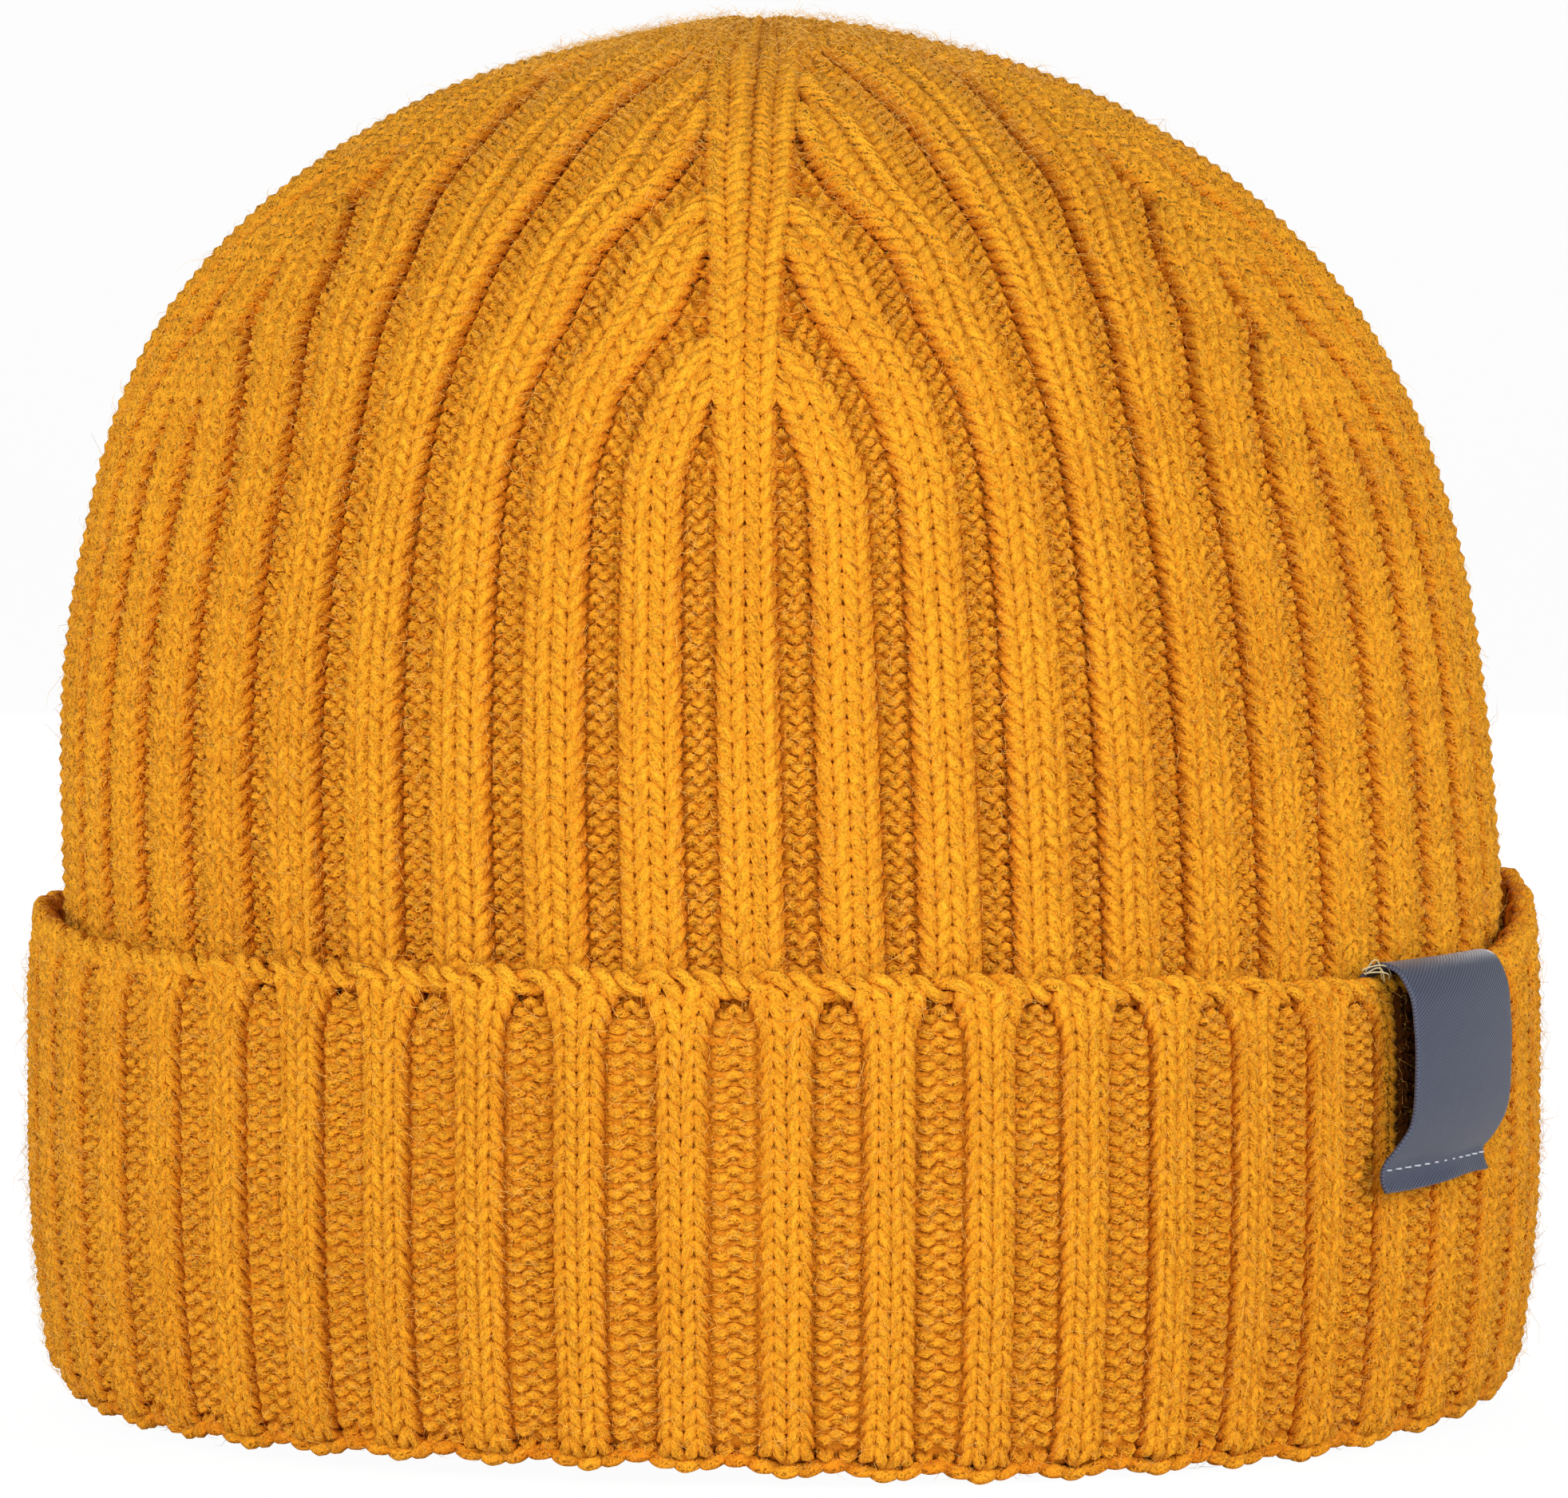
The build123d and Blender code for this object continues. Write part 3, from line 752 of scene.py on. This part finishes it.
def label_point(across, stand, z):
    """Points on the label: across is -0.5 to 0.5 from the front edge to the back edge."""
    t = LABEL_MIDDLE + across * LABEL_WIDTH / LABEL_REACH
    a = CUFF_OUTER - rim_draw(z)
    sin, cos = np.sin(t), np.cos(t)
    normal = np.stack([DEPTH_RATIO * sin, -cos, np.zeros_like(sin)], -1)
    normal /= np.linalg.norm(normal, axis=-1, keepdims=True)
    bulge = 1 + np.where(stand > 0, -0.36 * across, 0)
    flat = np.stack([a * sin, -DEPTH_RATIO * a * cos, z + 0 * sin], -1)
    return flat + normal * (stand * bulge)[..., None]


def twill(name):
    """Satin twill of the label: fine diagonal floats with a soft shine."""
    material, nodes, links = nodes_of(name)
    shader = nodes["Principled BSDF"]
    shader.inputs["Roughness"].default_value = 0.42
    shader.inputs["Specular IOR Level"].default_value = 0.45
    shader.inputs["Sheen Weight"].default_value = 0.15
    place = nodes.new("ShaderNodeUVMap")
    place.uv_map = "yarn"
    turn = nodes.new("ShaderNodeMapping")
    turn.inputs["Rotation"].default_value = (0, 0, math.radians(-62))
    links.new(place.outputs[0], turn.inputs[0])
    wave = nodes.new("ShaderNodeTexWave")
    wave.inputs["Scale"].default_value = 0.88
    wave.inputs["Distortion"].default_value = 0.35
    wave.inputs["Detail"].default_value = 1
    links.new(turn.outputs[0], wave.inputs["Vector"])
    cross = nodes.new("ShaderNodeTexWave")
    cross.inputs["Scale"].default_value = 2.6
    cross.bands_direction = "Y"
    links.new(place.outputs[0], cross.inputs["Vector"])
    both = nodes.new("ShaderNodeMath")
    both.operation = "MULTIPLY_ADD"
    both.inputs[1].default_value = 0.35
    links.new(cross.outputs["Fac"], both.inputs[0])
    links.new(wave.outputs["Fac"], both.inputs[2])
    ramp = nodes.new("ShaderNodeValToRGB")
    ramp.color_ramp.elements[0].position = 0.1
    ramp.color_ramp.elements[0].color = (0.012, 0.017, 0.033, 1)
    ramp.color_ramp.elements[1].position = 1.0
    ramp.color_ramp.elements[1].color = (0.072, 0.087, 0.142, 1)
    links.new(both.outputs[0], ramp.inputs[0])
    links.new(ramp.outputs[0], shader.inputs["Base Color"])
    rise = nodes.new("ShaderNodeBump")
    rise.inputs["Strength"].default_value = 0.5
    rise.inputs["Distance"].default_value = 0.0001
    links.new(both.outputs[0], rise.inputs["Height"])
    links.new(rise.outputs[0], shader.inputs["Normal"])
    return material


def hem_shift(at, hem):
    """How far the label's lower end is drawn towards its front edge, as a share of its width."""
    share = np.clip((at - hem + 5) / 5.5, 0, 1)
    return 0.12 * share ** 2 * (3 - 2 * share)


def woven_label():
    """The label: a ribbon looped over the cuff's edge, its end turned up at the hem."""
    line, at = smooth_line(LABEL_PROFILE, LABEL_ROWS)
    wide = np.linspace(-0.5, 0.5, LABEL_COLUMNS)
    down = at[:, None]
    end = at[-1]
    hem = end - HEM
    pinch = 1 - 0.035 * np.exp(-((down - hem) / 1.6) ** 2)
    across = wide * pinch - hem_shift(down, hem)
    stand = line[:, :1] + 0.25 * np.sin(9 * wide + 1) * np.exp(-((down - end) / 4) ** 2)
    z = line[:, 1:] + 0.3 * np.sin(5 * wide) * (down > hem) + 0.4 * (down / end) ** 3
    z = z + 0.55 * across * np.clip(down / hem, 0, 1)
    point = label_point(across, stand, z)
    out = np.cross(np.gradient(point, axis=1), np.gradient(point, axis=0))
    out /= np.linalg.norm(out, axis=2, keepdims=True)
    verts = np.concatenate([(point + side * LABEL_HALF * out).reshape(-1, 3) for side in (1, -1)])
    cells = LABEL_ROWS * LABEL_COLUMNS
    grid = np.arange(cells).reshape(LABEL_ROWS, LABEL_COLUMNS)
    front = np.stack([grid[:-1, :-1], grid[:-1, 1:], grid[1:, 1:], grid[1:, :-1]], -1).reshape(-1, 4)
    back = front[:, ::-1] + cells
    edge = np.concatenate([grid[0, :], grid[1:, -1], grid[-1, -2::-1], grid[-2:0:-1, 0]])
    nxt = np.roll(edge, -1)
    rim = np.stack([nxt, edge, edge + cells, nxt + cells], -1)
    quads = np.concatenate([front, back, rim])
    row, column = quads % cells // LABEL_COLUMNS, quads % cells % LABEL_COLUMNS
    sheet = np.repeat([0, 1, 2], [len(front), len(back), len(rim)])[:, None]
    round_edge = (np.arange(len(rim))[:, None] + np.array([1, 0, 0, 1])) / len(rim)
    faces = len(front) + len(back)
    maps = {"yarn": np.stack([column / (LABEL_COLUMNS - 1) * LABEL_WIDTH, at[row]], -1).reshape(-1, 2),
            "OFBake": bake_cells(sheet, np.concatenate([column[:faces] / (LABEL_COLUMNS - 1), round_edge]),
                                 np.concatenate([row[:faces] / (LABEL_ROWS - 1), rim // cells]))}
    label = mesh_object("woven_label_cloth", verts, quads, maps, twill("slate_twill"),
                        ("woven_label",))


woven_label()


def thread(name, colour):
    """Sewing thread, mottled."""
    material, nodes, links = nodes_of(name)
    shader = nodes["Principled BSDF"]
    shader.inputs["Roughness"].default_value = 0.5
    place = nodes.new("ShaderNodeTexCoord").outputs["Object"]
    noise = nodes.new("ShaderNodeTexNoise")
    noise.inputs["Scale"].default_value = 3000
    links.new(place, noise.inputs["Vector"])
    ramp = nodes.new("ShaderNodeValToRGB")
    ramp.color_ramp.elements[0].color = (*[0.7 * c for c in colour], 1)
    ramp.color_ramp.elements[1].color = (*colour, 1)
    links.new(noise.outputs["Fac"], ramp.inputs[0])
    links.new(ramp.outputs[0], shader.inputs["Base Color"])
    return material


def hem_stitches():
    """The dashed line of stitches that holds the label's hem to the cuff."""
    lines = []
    stitches, points, half_stitch = 12, 9, 0.022
    arch = np.sin(np.linspace(0, math.pi, points))
    for k in range(stitches):
        middle = -0.46 + 0.90 * k / (stitches - 1)
        across = middle - 0.10 + np.linspace(-half_stitch, half_stitch, points)
        lines.append(label_point(across, 1.02 + 0.42 * arch, 31.7 + 0.55 * across))
    strands("label_hem_stitches", lines, 0.12, 6, thread("hem_thread", (0.55, 0.56, 0.62)),
            ("label_hem_stitching",))


hem_stitches()


def tack_threads():
    """Tacking thread at the label's front corner, with its loose ends."""
    lines = []
    loops = ((2.4, 1.2, 0.8), (3.4, 0.5, 1.4), (2.0, 1.7, 0.4), (4.4, 0.9, 1.1))
    u = np.linspace(0, 1, 14)
    for k, (width, rise, out) in enumerate(loops):
        across = -0.5 + (-1.0 + width * (u - 0.35)) / LABEL_WIDTH
        z = 53.0 + rise * np.sin(math.pi * u) - 0.9 * u + 0.2 * k
        stand = -1.6 + out * np.sin(math.pi * u * 0.9) + 0.8 * u
        lines.append(label_point(across, stand, z))
    strands("label_tack_threads", lines, 0.09, 6, thread("tack_thread", (0.62, 0.50, 0.26)),
            ("label_tack_thread",))


tack_threads()


FIBRE_POINTS = 3
FIBRE_RADIUS = 0.028
FELTED_FROM = 142          # height above which the wool has felted most


def fuzz(number, each):
    """Loose wool fibres that stand from the yarn all over the outside."""
    material, nodes, _ = nodes_of("wool_fibres")
    shader = nodes["Principled BSDF"]
    shader.inputs["Base Color"].default_value = (0.95, 0.54, 0.10, 1)
    shader.inputs["Roughness"].default_value = 0.6
    shown = np.array([s for s in ROWS if s < S_FOLD + 3 or s > S_CUFF_TOP - 2])
    dense = np.interp(shown, PATH_S, PATH_A) * (1 + 1.5 * (shown > s_at_height(FELTED_FROM)))
    pick = RANDOM.choice(len(shown), number, p=dense / dense.sum())
    s = shown[pick] + RANDOM.uniform(-0.9, 0.9, number)
    t = RANDOM.uniform(0, 2 * math.pi, number)
    out = np.where(s < S_WALL - 3, -1.0, 1.0)
    length = RANDOM.gamma(2.4, 0.55, number).clip(0.5, 5)
    turn = RANDOM.uniform(0, 2 * math.pi, number)
    bend = RANDOM.normal(0, 1.3, number)
    lift = RANDOM.uniform(0.15, 0.75, number) ** 2 * length
    u = np.linspace(0, 1, FIBRE_POINTS)
    heading = (turn[:, None] + bend[:, None] * u)[:, :-1]
    step = length[:, None] / (FIBRE_POINTS - 1)
    start = np.zeros((number, 1))
    round_hat = np.concatenate([start, np.cumsum(np.cos(heading) * step, 1)], 1)
    up_path = np.concatenate([start, np.cumsum(np.sin(heading) * step, 1)], 1)
    radius = np.maximum(np.interp(s, PATH_S, PATH_A), 6)
    angle = t[:, None] + round_hat / radius[:, None]
    place = np.clip(s[:, None] + up_path, 0.2, S_END)
    root = RANDOM.uniform(0.3, 1.5, number)
    height = out[:, None] * (root[:, None] + 0.5 + lift[:, None] * np.sin(u * math.pi * 0.6)[None])
    point, _ = fabric(angle.ravel(), place.ravel(), height.ravel())
    point[:, 2] = np.maximum(point[:, 2], 0.1 - FLOOR_REST)
    lines = point.reshape(number, FIBRE_POINTS, 3)
    at = np.degrees(t + slip(t, s))
    covered = (s < S_FOLD) & (np.abs((at - 56) % 360) < 10) & (lines[:, 0, 2] > 27)     # by the label
    lines = lines[~covered]
    for k in range(0, len(lines), each):
        strands(f"loose_fibres_{k // each + 1}", lines[k:k + each], FIBRE_RADIUS, 3, material,
                taper=0.97)


fuzz(90000, 15000)

# ---------------------------------------------------------------- floor, light and camera, in metres
def white_floor():
    """A pale floor that bends up into a backdrop, far enough away for a view from any side."""
    mesh = bpy.data.meshes.new("studio_floor")
    side, front, back, top, bend, steps = 4.5, -4.5, 4.4, 4.0, 0.8, 12
    turns = [k * math.pi / 2 / steps for k in range(1, steps + 1)]
    profile = [(front, 0.0), (back - bend, 0.0)]
    profile += [(back - bend + bend * math.sin(turn), bend - bend * math.cos(turn)) for turn in turns]
    profile += [(back, top)]
    verts = [(x, y, z) for y, z in profile for x in (-side, side)]
    faces = [(2 * k, 2 * k + 1, 2 * k + 3, 2 * k + 2) for k in range(len(profile) - 1)]
    mesh.from_pydata(verts, [], faces)
    mesh.shade_smooth()
    floor = bpy.data.objects.new("studio_floor", mesh)
    bpy.context.collection.objects.link(floor)
    material, nodes, links = nodes_of("white_backdrop")
    shader = nodes["Principled BSDF"]
    shader.inputs["Base Color"].default_value = (0.80, 0.80, 0.80, 1)
    shader.inputs["Roughness"].default_value = 0.9
    glow = nodes.new("ShaderNodeEmission")
    glow.inputs["Strength"].default_value = 1.04
    seen = nodes.new("ShaderNodeLightPath").outputs["Is Camera Ray"]
    share = nodes.new("ShaderNodeMath")
    share.operation = "MULTIPLY"
    share.inputs[1].default_value = 0.93           # the rest keeps the hat's shadow
    links.new(seen, share.inputs[0])
    mix = nodes.new("ShaderNodeMixShader")
    links.new(share.outputs[0], mix.inputs[0])
    links.new(shader.outputs[0], mix.inputs[1])
    links.new(glow.outputs[0], mix.inputs[2])
    links.new(mix.outputs[0], nodes["Material Output"].inputs[0])
    floor.data.materials.append(material)


white_floor()


def area_light(name, place, aim, size, power):
    """A softbox turned towards a point."""
    data = bpy.data.lights.new(name, "AREA")
    data.shape = "RECTANGLE"
    data.size, data.size_y = size
    data.energy = power
    light = bpy.data.objects.new(name, data)
    bpy.context.collection.objects.link(light)
    light.location = place
    light.rotation_euler = Vector(np.subtract(aim, place)).to_track_quat("-Z", "Y").to_euler()


area_light("key_softbox", (0.0, -1.75, 0.6), (0, 0, 0.06), (0.8, 0.6), 14)
area_light("left_softbox", (-1.25, -1.05, 0.5), (0, 0, 0.07), (0.6, 0.9), 17)
area_light("right_softbox", (1.25, -1.05, 0.5), (0, 0, 0.07), (0.6, 0.9), 17)
area_light("top_softbox", (0.1, 0.3, 1.8), (0, 0, 0.1), (1.4, 1.0), 1.2)
area_light("back_softbox", (0.0, 1.7, 0.5), (0, 0, 0.07), (1.0, 0.7), 14)

world = bpy.data.worlds.new("studio")
bpy.context.scene.world = world
world.use_nodes = True
sky, sky_links = world.node_tree.nodes, world.node_tree.links
seen = sky.new("ShaderNodeLightPath").outputs["Is Camera Ray"]
level = sky.new("ShaderNodeMapRange")
level.inputs["To Min"].default_value = 0.14          # what the world adds to the light
level.inputs["To Max"].default_value = 1.0           # what the camera sees of it
sky_links.new(seen, level.inputs["Value"])
sky_links.new(level.outputs[0], sky["Background"].inputs[1])
sky["Background"].inputs[0].default_value = (1, 1, 1, 1)

camera_data = bpy.data.cameras.new("camera")
camera_data.sensor_width = 36.0
camera_data.lens = 295.3
camera = bpy.data.objects.new("camera", camera_data)
bpy.context.collection.objects.link(camera)
camera.location = (0, -1.496, 0.1461)
camera.rotation_euler = (math.radians(90 - 2.685), 0, 0)
bpy.context.scene.camera = camera
bpy.context.scene.view_settings.view_transform = "Standard"
